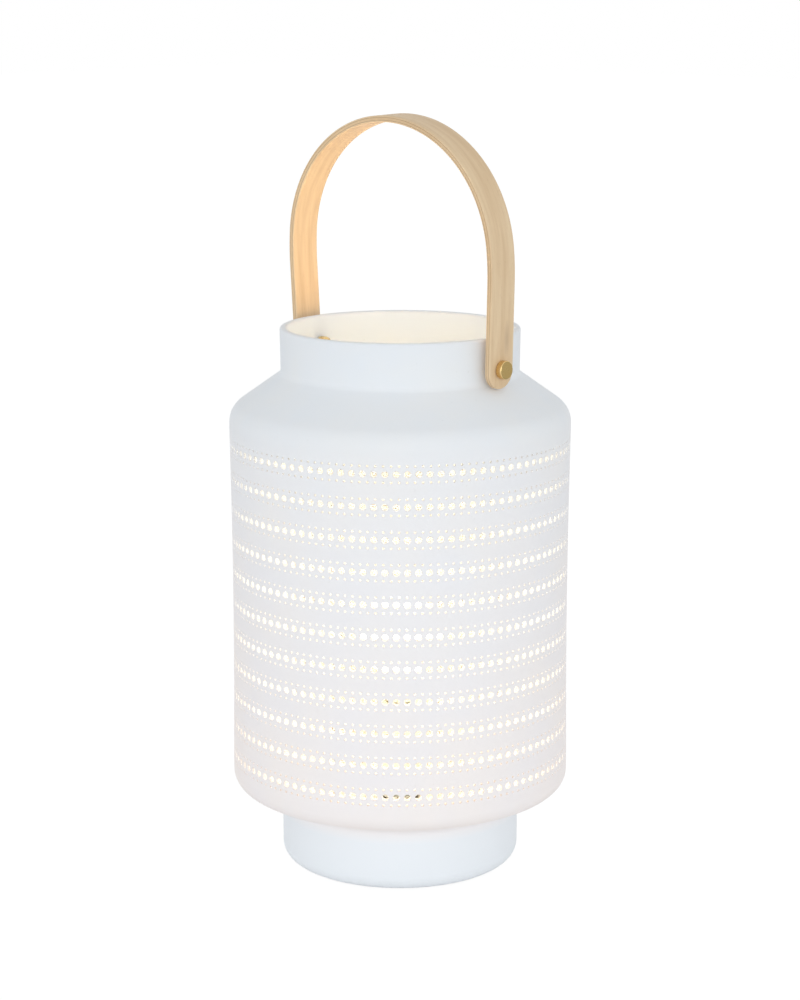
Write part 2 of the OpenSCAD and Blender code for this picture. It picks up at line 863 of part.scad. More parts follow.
module bulb_collar() {
    collar_r = cap_r + collar_w;
    color([0.94, 0.94, 0.93])
        rotate_extrude()
            polygon(rounded([
                [0, collar_z - far],
                [0, collar_z],
                [collar_r, collar_z],
                [collar_r, collar_z + collar_h],
                [globe_low_r, globe_low_z],
                [0, globe_low_z],
                [0, far]
            ], [0, 0, 0.8, 6, 0, 0, 0]));
}

module bulb_cap() {
    color(steel)
        translate([0, 0, cap_z])
            cylinder(h = collar_z - cap_z, r = cap_r);
}

module bulb_insulator() {
    color(black)
        translate([0, 0, cap_z - insulator_h])
            cylinder(h = insulator_h, r1 = cap_r / 2, r2 = cap_r - 0.3);
}

module bulb_tip() {
    color(steel)
        translate([0, 0, tip_z])
            cylinder(h = tip_h, r1 = 1.6, r2 = 2.4);
}

porcelain_body();
base_plate();
base_screws();
base_bracket();
foot_pads();
cable_inlet();
terminal_block();
terminal_screws();
block_screw();
nipple();
nipple_nut();
steel_washers();
rubber_washers();
holder_cap();
holder_shell();
holder_core();
screw_shell();
centre_contact();
holder_terminals();
live_lead();
neutral_lead();
pivot_screws();
pivot_spacers();
neck_washers();
dome_nuts();
handle_strap();
bulb_globe();
bulb_collar();
bulb_cap();
bulb_insulator();
bulb_tip();
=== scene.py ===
import math

import bmesh
import bpy
from mathutils import Matrix, Vector

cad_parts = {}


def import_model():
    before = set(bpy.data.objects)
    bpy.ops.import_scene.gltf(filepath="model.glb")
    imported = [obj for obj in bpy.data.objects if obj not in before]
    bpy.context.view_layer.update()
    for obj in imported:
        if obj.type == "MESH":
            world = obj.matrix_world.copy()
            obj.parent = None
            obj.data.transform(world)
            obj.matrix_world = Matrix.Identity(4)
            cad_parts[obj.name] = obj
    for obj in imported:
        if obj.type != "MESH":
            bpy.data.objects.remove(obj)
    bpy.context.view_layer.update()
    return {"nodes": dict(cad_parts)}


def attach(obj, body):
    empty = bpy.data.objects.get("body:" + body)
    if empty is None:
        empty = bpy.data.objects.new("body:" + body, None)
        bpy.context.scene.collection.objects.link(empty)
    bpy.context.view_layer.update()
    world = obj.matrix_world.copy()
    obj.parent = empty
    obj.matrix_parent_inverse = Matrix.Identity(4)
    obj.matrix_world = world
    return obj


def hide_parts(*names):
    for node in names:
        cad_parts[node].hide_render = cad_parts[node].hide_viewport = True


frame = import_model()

MM = 0.001

# ---------------------------------------------------------------- sizes, in millimetres

# porcelain wall and its holes
WALL_R = 90.0
WALL_T = 4.0
WAIST = 0.85             # how much narrower the middle of the wall is
WAIST_Z = (57.4, 240.4)  # between these heights
ROWS = 11
FIRST_ROW_Z = 61.8
ROW_PITCH = 16.74
HOLES = 100              # large holes in one row
HOLE_R = 1.7
HOLE_RIM = 0.22          # width of the softened rim
PINHOLES = 142           # pinholes in one line
PINHOLE_R = 0.66
PINHOLE_OFF = 4.1        # a line of pinholes above and below each row
BIG_BAND = 2.55          # half the height of the band that holds the large holes
PIN_BAND = 1.05          # half the height of a band of pinholes
PIN_SHIFT = -0.3         # how far the pinholes are turned, as a share of their pitch

# neck, shoulder, belly and foot
NECK_R = 62.7
LIP_FLARE = 0.4
RIM_Z = 290.2
SHOULDER_Z = 266.3
SHOULDER_SLOPE = 35.4
SHOULDER_BLEND = 12.6
NECK_BLEND = 4.0
RIM_BLEND = 1.4
BELLY_Z = 44.5
BELLY_SLOPE = 21.0
BELLY_BLEND = 9.0
FOOT_R = 63.7
FOOT_BLEND = 8.0
FOOT_TOP_BLEND = 4.0
FLOOR_Z = 32.0
CAVITY_TOP_Z = 27.0
FLANGE_TOP_Z = 6.8
REBATE_R = 52.0
OPENING_R = 50.0
PLATE_TOP_Z = 3.8
PAD_PROUD = 0.8
NIPPLE_HOLE_R = 5.05

# cable inlet, at the back of the foot
INLET_Z = 17.5
INLET_HOLE_R = 4.45
INLET_HALF_H = 4.8
INLET_BORE_R = 3.1
INLET_SLEEVE_R = 4.4
INLET_FLANGE_R = 6.0
INLET_FLANGE_T = 1.4

# strap and pivots
STRAP_TOP_Z = 400.0
STRAP_T = 3.4
STRAP_W = 18.0
STRAP_EDGE = 0.55        # rounding of the strap's long edges
STRAP_END_DROP = 1.0
STRAP_LEAN = 1.3
STRAP_LEG_LEAN = 2.4
# the strap's bend from its top down, as (radius, degrees turned by the end of that stretch)
STRAP_ARCS = ((70.7, 38.8), (68.0, 85.2), (134.7, 90.0 + STRAP_LEG_LEAN))
PIVOT_Z = 274.8
PIVOT_R = 1.75
SCREW_HOLE_R = 1.80      # in the neck, spacers, washers and nuts
PIVOT_HOLE_R = 1.81      # in the strap, which turns on the screws
PIVOT_END_X = 54.61
SPACER_R = 4.4
SPACER_X = (62.94, 65.93)
HEAD_X = (70.03, 73.53)
HEAD_R = 4.75
WASHER_X = (57.61, 58.61)
NUT_DOME = 2.6

# lampholder and bulb
HOLDER_R = 13.5
HOLDER_T = 1.6
HOLDER_Z = 34.7
HOLDER_SHELL_Z = 51.7
HOLDER_TOP_Z = 86.5
HOLDER_LIP_R = 8.0
BULB_CAP_R = 6.9
BULB_CAP_Z = (70.0, 87.7)
THREAD_PITCH = 2.82
THREAD_DEPTH = 0.5
COLLAR_R = 9.3
COLLAR_Z = 87.7
GLOBE_R = 22.5
GLOBE_T = 1.2
GLOBE_Z = 122.5
GLOBE_DROP = 15.5

# felt pads
PAD_R = 8.0
PAD_TOP_Z = 2.3
PAD_CIRCLE_R = 38.0

# the line through both pivots, as a place whose own Z runs along it
PIVOT_AXIS = Matrix.Translation((0, 0, PIVOT_Z * MM)) @ Matrix.Rotation(math.pi / 2, 4, "Y")


# ---------------------------------------------------------------- mesh helpers

def new_object(name, verts, faces, smooth=35.0):
    """An object from points in millimetres, its faces turned outwards and its creases kept sharp."""
    mesh = bpy.data.meshes.new(name)
    mesh.from_pydata([(x * MM, y * MM, z * MM) for x, y, z in verts], [], faces)
    bm = bmesh.new()
    bm.from_mesh(mesh)
    bmesh.ops.recalc_face_normals(bm, faces=bm.faces)
    bm.to_mesh(mesh)
    bm.free()
    finish_mesh(mesh, smooth)
    obj = bpy.data.objects.new(name, mesh)
    bpy.context.scene.collection.objects.link(obj)
    return obj


def finish_mesh(mesh, smooth):
    mesh.shade_smooth()
    mesh.set_sharp_from_angle(angle=math.radians(smooth))


def blend(a, b, c, r, steps):
    """Points of the arc of radius r that rounds corner b between a and c."""
    a, b, c = Vector(a), Vector(b), Vector(c)
    u = (a - b).normalized()
    v = (c - b).normalized()
    half = math.acos(max(-1.0, min(1.0, u.dot(v)))) / 2
    middle = b + (u + v).normalized() * (r / math.sin(half))
    start_v = b + u * (r / math.tan(half)) - middle
    end_v = b + v * (r / math.tan(half)) - middle
    start = math.atan2(start_v.y, start_v.x)
    sweep = (math.atan2(end_v.y, end_v.x) - start + math.pi) % (2 * math.pi) - math.pi
    return [(middle.x + r * math.cos(start + sweep * k / steps),
             middle.y + r * math.sin(start + sweep * k / steps)) for k in range(steps + 1)]


def rounded(path, radii, steps=10):
    """An open profile with each inner corner rounded by its own radius; its ends stay."""
    out = [path[0]]
    for i in range(1, len(path) - 1):
        if radii[i] > 0:
            out += blend(path[i - 1], path[i], path[i + 1], radii[i], steps)
        else:
            out.append(path[i])
    return out + [path[-1]]


def refine(path, longest):
    """A profile with its long stretches divided."""
    out = [path[0]]
    for (r0, z0), (r1, z1) in zip(path, path[1:]):
        n = max(1, math.ceil(math.hypot(r1 - r0, z1 - z0) / longest))
        out += [(r0 + (r1 - r0) * k / n, z0 + (z1 - z0) * k / n) for k in range(1, n + 1)]
    return out


def turn(profile, n, closed=False):
    """Points and faces of a profile of (r, z) turned about Z; radius 0 becomes one point."""
    verts, rows, faces = [], [], []
    for r, z in profile:
        if r < 1e-6:
            rows.append([len(verts)] * n)
            verts.append((0.0, 0.0, z))
        else:
            rows.append(list(range(len(verts), len(verts) + n)))
            verts += [(r * math.cos(2 * math.pi * k / n), r * math.sin(2 * math.pi * k / n), z)
                      for k in range(n)]
    pairs = list(zip(rows, rows[1:]))
    if closed:
        pairs.append((rows[-1], rows[0]))
    for low, high in pairs:
        for k in range(n):
            loop = [low[k], low[(k + 1) % n], high[(k + 1) % n], high[k]]
            face = [v for i, v in enumerate(loop) if v not in loop[:i]]
            if len(face) > 2:
                faces.append(face)
    return verts, faces


def turned(name, profile, n=96, closed=False):
    """An object turned from a profile about the lamp's own axis."""
    return new_object(name, *turn(profile, n, closed))


def joined(name, parts):
    """One object from several (points, faces) sets."""
    verts, faces = [], []
    for part_verts, part_faces in parts:
        base = len(verts)
        verts += part_verts
        faces += [[base + v for v in face] for face in part_faces]
    return new_object(name, verts, faces)


# ---------------------------------------------------------------- porcelain body

def wall_out(z):
    """Outer radius of the perforated wall: it is a little narrower in the middle."""
    low, high = WAIST_Z
    share = min(1.0, max(0.0, (z - low) / (high - low)))
    return WALL_R - WAIST * math.sin(math.pi * share)


class Shell:
    """Collects the porcelain's points and faces, ring by ring."""

    def __init__(self):
        self.verts = []
        self.faces = []

    def point(self, r, angle, z):
        self.verts.append((r * math.cos(angle), r * math.sin(angle), z))
        return len(self.verts) - 1

    def ring(self, r, z, n, start=0.0):
        """n points, as (angle, index)."""
        angles = [start + 2 * math.pi * k / n for k in range(n)]
        return [(angle, self.point(r, angle, z)) for angle in angles]

    def strip(self, a, b):
        """Faces between two rings with the same number of points."""
        n = len(a)
        for k in range(n):
            m = (k + 1) % n
            self.faces.append([a[k][1], a[m][1], b[m][1], b[k][1]])

    def stitch(self, a, b):
        """Faces between two rings with different numbers of points."""
        if len(a) == len(b):
            self.strip(a, b)
            return
        i = j = 0
        n, m = len(a), len(b)
        while i < n or j < m:
            next_a = a[i + 1][0] if i + 1 < n else 2 * math.pi + a[(i + 1) % n][0]
            next_b = b[j + 1][0] if j + 1 < m else 2 * math.pi + b[(j + 1) % m][0]
            if j >= m or (i < n and next_a <= next_b):
                self.faces.append([a[i % n][1], a[(i + 1) % n][1], b[j % m][1]])
                i += 1
            else:
                self.faces.append([a[i % n][1], b[(j + 1) % m][1], b[j % m][1]])
                j += 1

    def hole_band(self, z, half, count, hole_r, sides, rim, radius, wall, start=0.0):
        """A band with count round holes. Gives its lower and upper rings outside and inside."""
        edges = []
        loops = []
        for inside in (False, True):
            shrink = wall if inside else 0.0
            grid = []
            for level in (-half, 0.0, half):
                r = radius(z + level) - shrink
                n = 2 * count if level else count
                grid.append(self.ring(r, z + level, n, start))
            edges.append((grid[0], grid[2]))
            rings = []
            for c in range(count):
                middle = start + 2 * math.pi * (c + 0.5) / count
                a, b = 2 * c, 2 * c + 1
                d = (2 * c + 2) % (2 * count)
                low, mid, high = grid
                border = [mid[(c + 1) % count][1], high[d][1], high[b][1], high[a][1],
                          mid[c][1], low[a][1], low[b][1], low[d][1]]
                outer_r = hole_r + (0.0 if inside else rim)
                loop = self.hole_loop(z, middle, outer_r, sides, radius, shrink)
                step = sides // 8
                for k in range(8):
                    here, after = border[k], border[(k + 1) % 8]
                    if step == 1:
                        self.faces.append([here, after, loop[(k + 1) % 8], loop[k]])
                        continue
                    before = loop[(step * k - 1) % sides]
                    on = loop[step * k]
                    past = loop[(step * k + 1) % sides]
                    self.faces.append([here, on, before])
                    self.faces.append([here, past, on])
                    self.faces.append([here, after, past])
                if rim and not inside:
                    deep = self.hole_loop(z, middle, hole_r, sides, radius, rim)
                    for k in range(sides):
                        m = (k + 1) % sides
                        self.faces.append([loop[k], loop[m], deep[m], deep[k]])
                    loop = deep
                rings.append(loop)
            loops.append(rings)
        for outer, inner in zip(*loops):
            for k in range(sides):
                m = (k + 1) % sides
                self.faces.append([outer[k], outer[m], inner[m], inner[k]])
        return edges

    def hole_loop(self, z, middle, hole_r, sides, radius, shrink):
        loop = []
        for k in range(sides):
            turn_by = 2 * math.pi * k / sides
            r = radius(z + hole_r * math.sin(turn_by)) - shrink
            angle = middle + math.asin(hole_r * math.cos(turn_by) / r)
            loop.append(self.point(r, angle, z + hole_r * math.sin(turn_by)))
        return loop


def porcelain_profiles():
    """The profile above the holes, from outside over the rim to inside, and the one below them."""
    slope = math.tan(math.radians(SHOULDER_SLOPE))
    belly = math.tan(math.radians(BELLY_SLOPE))
    in_r = WALL_R - WALL_T
    neck_in = NECK_R - WALL_T
    foot_in = FOOT_R - WALL_T
    edge_z = SHOULDER_Z - (WALL_R - NECK_R) * slope
    across = WALL_T * slope - WALL_T / math.cos(math.radians(SHOULDER_SLOPE))
    top_z = FIRST_ROW_Z + (ROWS - 1) * ROW_PITCH + PINHOLE_OFF + PIN_BAND
    low_z = FIRST_ROW_Z - PINHOLE_OFF - PIN_BAND
    top = rounded([
        (wall_out(top_z), top_z), (WALL_R, edge_z), (NECK_R, SHOULDER_Z), (NECK_R + LIP_FLARE, RIM_Z),
        (neck_in + LIP_FLARE, RIM_Z), (neck_in, SHOULDER_Z + across), (in_r, edge_z + across),
        (wall_out(top_z) - WALL_T, top_z)],
        [0, SHOULDER_BLEND, NECK_BLEND, RIM_BLEND, RIM_BLEND, NECK_BLEND + WALL_T,
         SHOULDER_BLEND - WALL_T, 0])
    inner_belly = BELLY_Z - WALL_T * belly + WALL_T / math.cos(math.radians(BELLY_SLOPE))
    floor_edge = in_r - (inner_belly - FLOOR_Z) / belly
    low = [
        (wall_out(low_z), low_z), (WALL_R, BELLY_Z), (FOOT_R, BELLY_Z - (WALL_R - FOOT_R) * belly),
        (FOOT_R, PAD_PROUD), (REBATE_R, PAD_PROUD), (REBATE_R, PLATE_TOP_Z), (OPENING_R, PLATE_TOP_Z),
        (OPENING_R, FLANGE_TOP_Z), (foot_in, FLANGE_TOP_Z), (foot_in, CAVITY_TOP_Z),
        (NIPPLE_HOLE_R, CAVITY_TOP_Z), (NIPPLE_HOLE_R, FLOOR_Z), (floor_edge, FLOOR_Z),
        (in_r, inner_belly), (wall_out(low_z) - WALL_T, low_z)]
    radii = [0, BELLY_BLEND, FOOT_TOP_BLEND, FOOT_BLEND, 0.5, 0.4, 0.4, 0.6, FOOT_BLEND - WALL_T,
             WALL_T, 0, 0.4, 2 * WALL_T, BELLY_BLEND - WALL_T, 0]
    return refine(top, 8.0), low, radii


def split_at(profile, r_near, z_cut):
    """Index of the stretch of a profile near radius r_near that crosses height z_cut."""
    for i, ((r0, z0), (r1, z1)) in enumerate(zip(profile, profile[1:])):
        if abs(r0 - r_near) < 0.5 and abs(r1 - r_near) < 0.5 and min(z0, z1) <= z_cut <= max(z0, z1):
            return i
    raise ValueError("no stretch of the profile crosses that height")


def porcelain():
    shell = Shell()
    top_profile, low_path, low_radii = porcelain_profiles()
    around = 2 * HOLES
    pin_start = PIN_SHIFT * 2 * math.pi / PINHOLES
    rings_out = []
    rings_in = []
    for row in range(ROWS):
        z = FIRST_ROW_Z + row * ROW_PITCH
        for shift, half, count, r, sides, rim, start in (
                (-PINHOLE_OFF, PIN_BAND, PINHOLES, PINHOLE_R, 8, 0.0, pin_start),
                (0.0, BIG_BAND, HOLES, HOLE_R, 16, HOLE_RIM, 0.0),
                (PINHOLE_OFF, PIN_BAND, PINHOLES, PINHOLE_R, 8, 0.0, pin_start)):
            outside, inside = shell.hole_band(z + shift, half, count, r, sides, rim, wall_out, WALL_T, start)
            rings_out.append(outside)
            rings_in.append(inside)
    for rings in (rings_out, rings_in):
        for (_, upper), (lower, _) in zip(rings, rings[1:]):
            shell.stitch(upper, lower)

    # neck and shoulder
    previous = rings_out[-1][1]
    for r, z in top_profile[1:-1]:
        ring = shell.ring(r, z, around)
        shell.stitch(previous, ring)
        previous = ring
    shell.stitch(previous, rings_in[-1][1])

    # belly and foot, with the hole for the cable inlet
    low_profile = refine(rounded(low_path, low_radii, 8), 8.0)
    foot_in = FOOT_R - WALL_T
    out_i = split_at(low_profile, FOOT_R, INLET_Z)
    in_i = split_at(low_profile, foot_in, INLET_Z)
    levels = [INLET_Z + INLET_HALF_H * k / 2 for k in (-2, -1, 0, 1, 2)]
    path = (low_profile[:out_i + 1] + [(FOOT_R, z) for z in reversed(levels)]
            + low_profile[out_i + 1:in_i + 1] + [(foot_in, z) for z in levels]
            + low_profile[in_i + 1:])
    path = [p for i, p in enumerate(path)
            if p[1] in levels or not (abs(p[0] - FOOT_R) < 0.01 or abs(p[0] - foot_in) < 0.01)
            or not (levels[0] <= p[1] <= levels[-1])]
    rings = [rings_out[0][0]]
    for r, z in path[1:-1]:
        rings.append(shell.ring(r, z, around))
    rings.append(rings_in[0][0])
    back = around // 4
    reach = 3
    cells = {}
    for (r, z), ring in zip(path, rings):
        if z in levels and (abs(r - FOOT_R) < 0.01 or abs(r - foot_in) < 0.01):
            cells.setdefault(r > foot_in + 1, []).append((z, ring))
    in_cell = {id(ring) for group in cells.values() for _, ring in group}
    for a, b in zip(rings, rings[1:]):
        if len(a) != len(b):
            shell.stitch(a, b)
            continue
        for k in range(around):
            m = (k + 1) % around
            if id(a) in in_cell and id(b) in in_cell and back - reach <= k < back + reach:
                continue
            shell.faces.append([a[k][1], a[m][1], b[m][1], b[k][1]])
    loops = []
    for outside in (True, False):
        group = sorted(cells[outside], key=lambda item: item[0])
        ring_at = [ring for _, ring in group]
        r = FOOT_R if outside else foot_in
        border = [ring_at[0][back + k][1] for k in range(-reach, reach)]
        border += [ring_at[k][back + reach][1] for k in range(4)]
        border += [ring_at[4][back - k][1] for k in range(-reach, reach)]
        border += [ring_at[4 - k][back - reach][1] for k in range(4)]
        loop = []
        for index in border:
            x, _, z = shell.verts[index]
            direction = math.atan2(z - INLET_Z, x)
            u = INLET_HOLE_R * math.cos(direction)
            loop.append(shell.point(r, math.pi / 2 - math.asin(u / r),
                                    INLET_Z + INLET_HOLE_R * math.sin(direction)))
        n = len(border)
        for k in range(n):
            m = (k + 1) % n
            shell.faces.append([border[k], border[m], loop[m], loop[k]])
        loops.append(loop)
    n = len(loops[0])
    for k in range(n):
        m = (k + 1) % n
        shell.faces.append([loops[0][k], loops[0][m], loops[1][m], loops[1][k]])

    # the rings in the middle of each band belong to their cells alone
    used = {v for face in shell.faces for v in face}
    order = {v: i for i, v in enumerate(sorted(used))}
    verts = [shell.verts[v] for v in sorted(used)]
    faces = [[order[v] for v in face] for face in shell.faces]
    obj = new_object("porcelain_lantern", verts, faces, 30.0)
    # one bore through both sides of the neck, for the pivot screws
    bore(obj, SCREW_HOLE_R)
    finish_mesh(obj.data, 30.0)
    return obj


# ---------------------------------------------------------------- strap

def strap_line():
    """The strap's middle line in the plane of its arch, as (x, z, turn) from one end to the other."""
    top = STRAP_TOP_Z - STRAP_T / 2
    x, z, heading = 0.0, top, 0.0
    half = [(x, z, heading)]
    for radius, until in STRAP_ARCS:
        start = heading
        steps = max(2, round((until - start) / 1.6))
        for k in range(steps):
            a = math.radians(start + (until - start) * k / steps)
            b = math.radians(start + (until - start) * (k + 1) / steps)
            x += radius * (math.sin(b) - math.sin(a))
            z -= radius * (math.cos(a) - math.cos(b))
            half.append((x, z, math.degrees(b)))
        heading = until
    lean = math.radians(STRAP_LEG_LEAN)
    end_z = PIVOT_Z - STRAP_END_DROP
    while z - 2.2 > end_z:
        z -= 2.0
        x -= 2.0 * math.tan(lean)
        half.append((x, z, heading))
    x -= (z - end_z) * math.tan(lean)
    z = end_z
    half.append((x, z, heading))
    for k in range(1, 13):
        drop = STRAP_W / 2 * math.sin(math.pi / 2 * k / 12)
        half.append((x - drop * math.tan(lean), z - drop, heading))
    other = [(-px, pz, -turn_by) for px, pz, turn_by in reversed(half[1:])]
    return other + half, 12


def strap():
    """A bent band with rounded edges and round ends, which keeps each point's place in the board."""
    line, tip = strap_line()
    count = len(line)
    last = count - 1
    quarter = [math.pi / 2 * k / 4 for k in range(5)]
    edge = [(STRAP_EDGE * (1 - math.cos(a)), STRAP_EDGE * (1 - math.sin(a))) for a in quarter]
    section = [(inset, -STRAP_T / 2 + depth) for depth, inset in edge]
    section += [(0.0, level) for level in (-0.75, 0.0, 0.75)]
    section += [(inset, STRAP_T / 2 - depth) for depth, inset in reversed(edge)]
    across = 6
    verts, faces, marks = [], [], []
    length = [0.0]
    for (x0, z0, _), (x1, z1, _) in zip(line, line[1:]):
        length.append(length[-1] + math.hypot(x1 - x0, z1 - z0))

    def drop_at(i):
        """How far a place on the line lies past the middle of a rounded end."""
        beyond = max(tip - i, i - (last - tip), 0)
        return STRAP_W / 2 * math.sin(math.pi / 2 * beyond / tip)

    def add(i, side, inset, n, share=1.0):
        """A point at a place on the line; inset pulls it in from the band's outline."""
        drop = drop_at(i)
        r = STRAP_W / 2
        w = side * share * (r - inset) * math.sqrt(max(0.0, 1 - (drop / r) ** 2))
        x, z, heading = line[i]
        a = math.radians(heading)
        pull = drop * inset / r
        x += math.copysign(pull * math.sin(math.radians(STRAP_LEG_LEAN)), x)
        z += pull * math.cos(math.radians(STRAP_LEG_LEAN))
        verts.append((x + n * math.sin(a), w, z + n * math.cos(a)))
        marks.append((length[i], w, n))
        return len(verts) - 1

    rows = []
    for i in range(1, last):
        loop = [add(i, 1, inset, n) for inset, n in section]
        loop += [add(i, 1, section[-1][0], STRAP_T / 2, 1 - 2 * k / across) for k in range(1, across)]
        loop += [add(i, -1, inset, n) for inset, n in reversed(section)]
        loop += [add(i, -1, section[0][0], -STRAP_T / 2, 1 - 2 * k / across) for k in range(1, across)]
        rows.append(loop)
    for a, b in zip(rows, rows[1:]):
        for k in range(len(a)):
            m = (k + 1) % len(a)
            faces.append([a[k], a[m], b[m], b[k]])
    for i, loop in ((0, rows[0]), (last, rows[-1])):
        levels = len(section)
        spine = [add(i, 0, inset, n) for inset, n in section]
        for k in range(levels - 1):
            faces.append([loop[k], loop[k + 1], spine[k + 1], spine[k]])
        far = levels + across - 1
        for k in range(levels - 1):
            faces.append([loop[far + k], loop[far + k + 1], spine[levels - 2 - k], spine[levels - 1 - k]])
        top = loop[levels - 1:levels + across]
        low = loop[far + levels - 1:] + [loop[0]]
        for k in range(across):
            faces.append([top[k], top[k + 1], spine[-1]])
            faces.append([low[k], low[k + 1], spine[0]])
    lean = math.radians(STRAP_LEAN)
    tilted = []
    for x, y, z in verts:
        up = z - PIVOT_Z
        tilted.append((x, y * math.cos(lean) - up * math.sin(lean),
                       PIVOT_Z + y * math.sin(lean) + up * math.cos(lean)))
    obj = new_object("birch_strap", tilted, faces, 40.0)
    for name, axis in (("along", 0), ("across", 1), ("through", 2)):
        layer = obj.data.attributes.new(name, "FLOAT", "POINT")
        layer.data.foreach_set("value", [mark[axis] for mark in marks])
    bore(obj, PIVOT_HOLE_R)
    return obj


def bore(obj, r):
    """Cuts a round hole through an object, along the line of the pivots."""
    reach = 100.0        # past both sides of the lamp
    cutter = new_object("bore_cutter", *turn([(0, -reach), (r, -reach), (r, reach), (0, reach)], 40))
    cutter.matrix_world = PIVOT_AXIS
    cut = obj.modifiers.new("bore", "BOOLEAN")
    cut.operation = "DIFFERENCE"
    cut.solver = "EXACT"
    cut.object = cutter
    bpy.context.view_layer.update()
    bored = bpy.data.meshes.new_from_object(obj.evaluated_get(bpy.context.evaluated_depsgraph_get()))
    obj.modifiers.clear()
    obj.data = bored
    bpy.data.objects.remove(cutter)


# ---------------------------------------------------------------- materials

def material(name):
    """A new material and its shader, ready for more nodes."""
    mat = bpy.data.materials.new(name)
    mat.use_nodes = True
    tree = mat.node_tree
    tree.nodes.clear()
    out = tree.nodes.new("ShaderNodeOutputMaterial")
    shader = tree.nodes.new("ShaderNodeBsdfPrincipled")
    tree.links.new(shader.outputs["BSDF"], out.inputs["Surface"])
    return mat, tree, shader


def feed(tree, made, inputs):
    """Links a node's inputs to other nodes, or sets them to a value."""
    for key, value in inputs.items():
        if isinstance(value, bpy.types.NodeSocket):
            tree.links.new(value, made.inputs[key])
        else:
            made.inputs[key].default_value = value


def node(tree, kind, inputs=None, **settings):
    made = tree.nodes.new(kind)
    for key, value in settings.items():
        setattr(made, key, value)
    feed(tree, made, inputs or {})
    return made


def place_of(tree, scale=(1.0, 1.0, 1.0)):
    """The point on the object, in metres, with each axis scaled."""
    where = node(tree, "ShaderNodeTexCoord")
    return node(tree, "ShaderNodeMapping", {"Vector": where.outputs["Object"], "Scale": scale}).outputs[0]


def noise(tree, where, scale, detail=4.0, rough=0.55):
    return node(tree, "ShaderNodeTexNoise", {"Vector": where, "Scale": scale, "Detail": detail,
                                             "Roughness": rough}).outputs[0]


def ramp(tree, value, stops):
    made = node(tree, "ShaderNodeValToRGB", {"Fac": value})
    bar = made.color_ramp
    while len(bar.elements) < len(stops):
        bar.elements.new(0.5)
    for element, (at, colour) in zip(bar.elements, stops):
        element.position = at
        element.color = colour + (1.0,)
    return made.outputs[0]


def between(tree, value, low, high, to_low, to_high):
    """Maps low to high onto to_low to to_high, and holds the ends."""
    return node(tree, "ShaderNodeMapRange", {"Value": value, "From Min": low, "From Max": high,
                                             "To Min": to_low, "To Max": to_high}).outputs[0]


def over(tree, value, span, to_low, to_high):
    """The same, for a place in metres and a span in millimetres."""
    return between(tree, value, span[0] * MM, span[1] * MM, to_low, to_high)


def mixed(tree, share, a, b):
    """Colour a where share is 0 and colour b where it is 1."""
    a, b = [c if isinstance(c, bpy.types.NodeSocket) else c + (1.0,) for c in (a, b)]
    return node(tree, "ShaderNodeMix", {0: share, 6: a, 7: b}, data_type="RGBA").outputs[2]


def calc(tree, operation, a, b=0.0, clamp=False):
    return node(tree, "ShaderNodeMath", {0: a, 1: b}, operation=operation, use_clamp=clamp).outputs[0]


def length_of(tree, a, b):
    """The length of a line whose two sides are a and b."""
    return calc(tree, "SQRT", calc(tree, "ADD", calc(tree, "MULTIPLY", a, a), calc(tree, "MULTIPLY", b, b)))


def scaled(tree, colour, amount):
    return node(tree, "ShaderNodeVectorMath", {0: colour, "Scale": amount}, operation="SCALE").outputs[0]


def bump(tree, shader, height, distance):
    made = node(tree, "ShaderNodeBump", {"Height": height, "Distance": distance, "Strength": 1.0})
    feed(tree, shader, {"Normal": made.outputs[0]})


def srgb(r, g, b):
    """A colour as the picture shows it, 0 to 255, as the shader's own numbers."""
    return tuple((v / 255 / 12.92) if v <= 10.3 else ((v / 255 + 0.055) / 1.055) ** 2.4 for v in (r, g, b))


GLOW_THROUGH = (0.085, 0.038, 0.014)     # the light that passes the porcelain wall
GLOW_LOW_Z = (27.0, 36.0)        # where it comes in over the foot
GLOW_HIGH_Z = (228.0, 252.0)     # where it fades out under the neck
GLOW_SPAN_Z = (50.0, 240.0)      # from here to there its strength goes through GLOW_SHARES
GLOW_SHARES = (1.35, 0.45)
GLOW_IN_HOLES = (0.28, 0.27, 0.19)       # the light on the walls of the holes
LIT_R = (86.1, 86.3, 88.3, 88.9)         # the depth of wall that it shows in: in, full, full, out
LIT_Z = (55.5, 56.0, 235.0, 235.5)       # and the height
FOOT_BOUNCE_Z = (28.0, 40.0)       # where the painted floor bounce on the foot fades out into the wall's tone
PORCELAIN_COOL = srgb(238, 240, 243)
PORCELAIN_WARM = srgb(241, 241, 241)
# painted light: the foot's porcelain is made paler to stand in for the white floor's light bounced onto it
PAINTED_FOOT_BOUNCE = srgb(246, 249, 252)
PORCELAIN_SPECK = srgb(188, 186, 178)
BIRCH_PALE = srgb(236, 209, 171)
BIRCH_MID = srgb(227, 197, 158)
BIRCH_DARK = srgb(217, 185, 145)
BIRCH_FLECK = srgb(176, 142, 108)
BIRCH_CORE = srgb(219, 186, 144)
BIRCH_GLUE = srgb(158, 122, 86)
BIRCH_KNOT = srgb(160, 128, 104)
BRASS_FACE = srgb(168, 144, 92)
TURNING_MARKS = 26000.0  # radians per metre: a mark every 0.24 mm
PLY_LINE = 0.75
KNOT_ALONG = 322.0
KNOT_ACROSS = 3.5
KNOT_LENGTH = 9.0
KNOT_WIDTH = 2.2
GLOBE_LIGHT = 10.5
GLOBE_COLOUR = (1.0, 0.89, 0.60)
GLOBE_LIT_Z = (100.0, 118.0)
GLOBE_LOW_SHARE = 0.72   # how bright it is below that, as a share of the top
HOLDER_GLOW = (0.30, 0.29, 0.19)         # the globe's light, scattered by the mouldings beside it
NECK_GLOW = (1.0, 0.55, 0.12)    # what the strap's inner face is lit by, over the open neck


